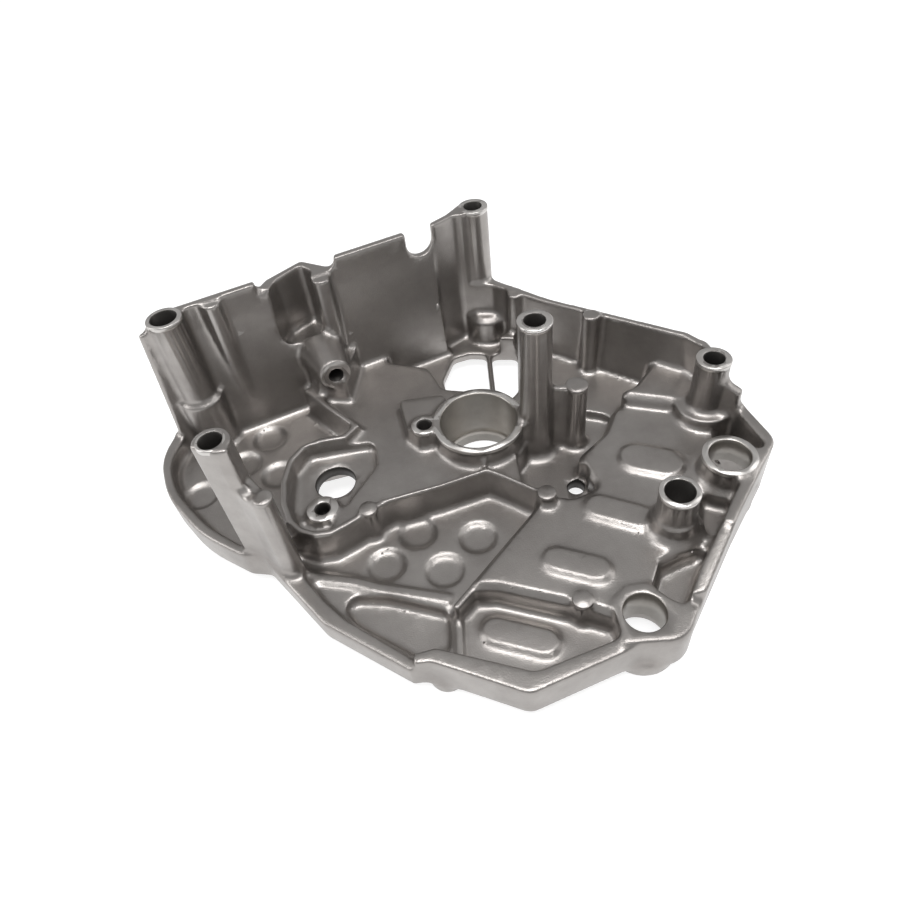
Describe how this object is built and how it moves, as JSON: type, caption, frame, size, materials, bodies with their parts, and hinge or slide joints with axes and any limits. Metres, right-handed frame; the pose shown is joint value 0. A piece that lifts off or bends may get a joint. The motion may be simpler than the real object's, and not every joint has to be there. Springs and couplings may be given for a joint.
{
  "type": "motorcycle sprocket cover",
  "caption": "Open-sided cast cover that bolts over a drive sprocket, with bolt bosses, a main bore, stepped shelves and low ribs.",
  "frame": {"origin": "axis of the middle bolt boss, in the mounting plane of the bolt bosses' top rings", "axes": "+Z out of the open side towards the engine, along the bolt axes; +X towards the right boss; +Y towards the tall back wall"},
  "size_m": [0.2247, 0.1924, 0.069],
  "materials": {
    "casting": "bare die casting, satin, with machined ring faces"
  },
  "bodies": {
    "root": {"sprocket_cover": "casting"}
  },
  "joints": []
}
